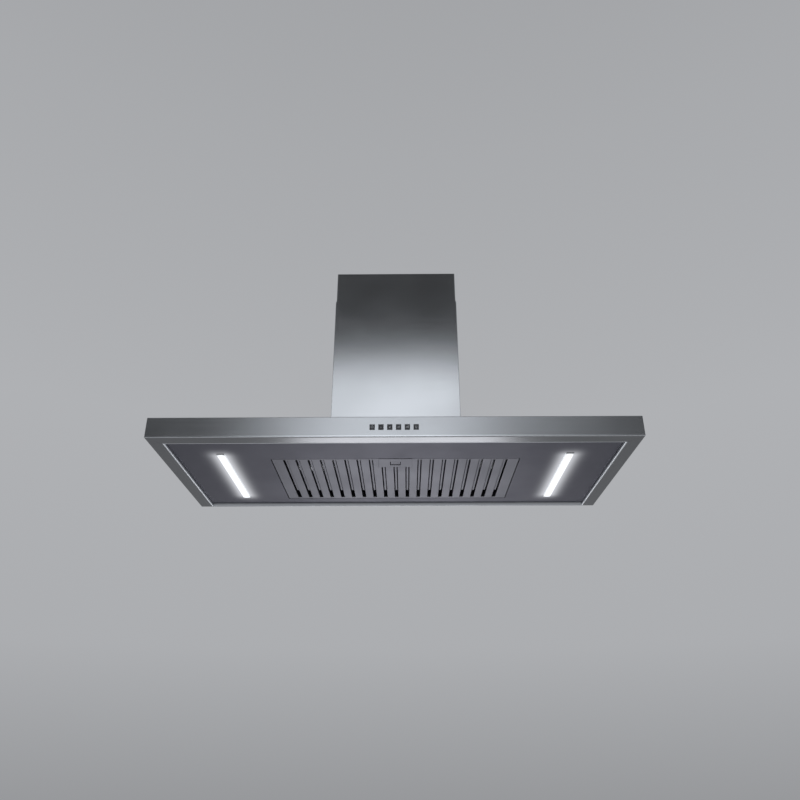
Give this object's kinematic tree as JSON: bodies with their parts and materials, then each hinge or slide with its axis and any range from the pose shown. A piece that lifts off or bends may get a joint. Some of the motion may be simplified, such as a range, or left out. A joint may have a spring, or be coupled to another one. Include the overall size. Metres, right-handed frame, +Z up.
{
  "type": "canopy range hood",
  "caption": "Wall-mounted stainless canopy range hood with a telescopic chimney, a drop-down baffle filter, strip lamps, push buttons and a centrifugal blower.",
  "frame": {"origin": "centre of the canopy's footprint, on the level of its lower rim", "axes": "+X to the hood's right seen from the cook, +Y towards the wall, +Z up"},
  "size_m": [1.2, 0.5412, 0.6555],
  "materials": {
    "canopy_steel": "horizontally brushed stainless",
    "chimney_steel": "horizontally brushed stainless",
    "underside_steel": "satin stainless in shade",
    "filter_steel": "pressed stainless, satin",
    "zinc_sheet": "galvanised",
    "fastener_steel": "zinc plated",
    "button_black": "satin black",
    "black_plastic": "moulded",
    "grey_plastic": "moulded",
    "rubber_black": "soft",
    "foam_gasket": "closed-cell foam",
    "motor_paint": "black enamel",
    "lamination": "stacked laminations",
    "board_green": "circuit board",
    "lens_white": "opal diffuser, lit",
    "driver_white": "moulded",
    "cable_grey": "sheathed",
    "capacitor_white": "moulded can",
    "shaft_steel": "ground"
  },
  "bodies": {
    "canopy": {"canopy_shell": "canopy_steel", "canopy_rear_panel": "zinc_sheet", "underside_panel": "underside_steel", "panel_clips": "zinc_sheet", "lower_chimney": "chimney_steel", "lower_chimney_screws": "fastener_steel", "airbox": "zinc_sheet", "airbox_gasket": "foam_gasket", "airbox_fasteners": "fastener_steel", "hanger_plate": "zinc_sheet", "outlet_collar": "black_plastic", "scroll_left": "black_plastic", "scroll_right": "black_plastic", "scroll_screws": "fastener_steel", "motor_housing": "motor_paint", "motor_stator": "lamination", "motor_bearings": "shaft_steel", "motor_spider": "zinc_sheet", "motor_mounts": "rubber_black", "motor_fasteners": "fastener_steel", "capacitor": "capacitor_white", "capacitor_clamp": "zinc_sheet", "terminal_box": "black_plastic", "terminal_box_cover": "black_plastic", "terminal_block": "driver_white", "cable_gland": "black_plastic", "led_driver": "driver_white", "lamp_housing_left": "zinc_sheet", "lamp_board_left": "board_green", "lamp_lens_left": "lens_white", "lamp_housing_right": "zinc_sheet", "lamp_board_right": "board_green", "lamp_lens_right": "lens_white", "control_frame": "black_plastic", "control_board": "board_green", "control_switches": "black_plastic", "control_cover": "black_plastic", "lamp_cables": "cable_grey", "control_cable": "cable_grey", "motor_cables": "cable_grey"},
    "upper_cover": {"upper_chimney": "chimney_steel", "chimney_wall_bracket": "zinc_sheet", "chimney_bracket_screws": "fastener_steel"},
    "wheel": {"impeller": "zinc_sheet", "motor_shaft": "shaft_steel", "motor_rotor": "lamination"},
    "front_flap": {"damper_flap_front": "grey_plastic"},
    "rear_flap": {"damper_flap_rear": "grey_plastic"},
    "filter": {"filter_frame": "filter_steel", "filter_lower_baffles": "filter_steel", "filter_upper_baffles": "filter_steel", "filter_latch_plate": "filter_steel", "latch_spring": "shaft_steel"},
    "latch": {"latch_slider": "filter_steel"},
    "button_1": {"button_1": "button_black"},
    "button_2": {"button_2": "button_black"},
    "button_3": {"button_3": "button_black"},
    "button_4": {"button_4": "button_black"},
    "button_5": {"button_5": "button_black"},
    "button_6": {"button_6": "button_black"}
  },
  "joints": [
    {"name": "button_1_press", "type": "slide", "parent": "canopy", "child": "button_1", "axis": [0, 1, 0], "range_m": [0, 0.0025], "stiffness_N_per_m": 300, "springref_m": -0.001},
    {"name": "button_2_press", "type": "slide", "parent": "canopy", "child": "button_2", "axis": [0, 1, 0], "range_m": [0, 0.0025], "stiffness_N_per_m": 300, "springref_m": -0.001},
    {"name": "button_3_press", "type": "slide", "parent": "canopy", "child": "button_3", "axis": [0, 1, 0], "range_m": [0, 0.0025], "stiffness_N_per_m": 300, "springref_m": -0.001},
    {"name": "button_4_press", "type": "slide", "parent": "canopy", "child": "button_4", "axis": [0, 1, 0], "range_m": [0, 0.0025], "stiffness_N_per_m": 300, "springref_m": -0.001},
    {"name": "button_5_press", "type": "slide", "parent": "canopy", "child": "button_5", "axis": [0, 1, 0], "range_m": [0, 0.0025], "stiffness_N_per_m": 300, "springref_m": -0.001},
    {"name": "button_6_press", "type": "slide", "parent": "canopy", "child": "button_6", "axis": [0, 1, 0], "range_m": [0, 0.0025], "stiffness_N_per_m": 300, "springref_m": -0.001},
    {"name": "filter_hinge", "type": "hinge", "parent": "canopy", "child": "filter", "pos_m": [0, 0.2185, 0.009], "axis": [1, 0, 0], "range_deg": [0, 60]},
    {"name": "latch_slide", "type": "slide", "parent": "filter", "child": "latch", "axis": [0, 1, 0], "range_m": [0, 0.008], "stiffness_N_per_m": 250, "springref_m": -0.006, "deforming": ["latch_spring"]},
    {"name": "chimney_slide", "type": "slide", "parent": "canopy", "child": "upper_cover", "axis": [0, 0, 1], "range_m": [-0.065, 0.31]},
    {"name": "wheel_spin", "type": "hinge", "parent": "canopy", "child": "wheel", "pos_m": [0, 0.108, 0.165], "axis": [1, 0, 0], "continuous": true},
    {"name": "front_flap_hinge", "type": "hinge", "parent": "canopy", "child": "front_flap", "pos_m": [0, 0.129, 0.322], "axis": [-1, 0, 0], "range_deg": [0, 80]},
    {"name": "rear_flap_hinge", "type": "hinge", "parent": "canopy", "child": "rear_flap", "pos_m": [0, 0.137, 0.322], "axis": [1, 0, 0], "range_deg": [0, 80]}
  ]
}
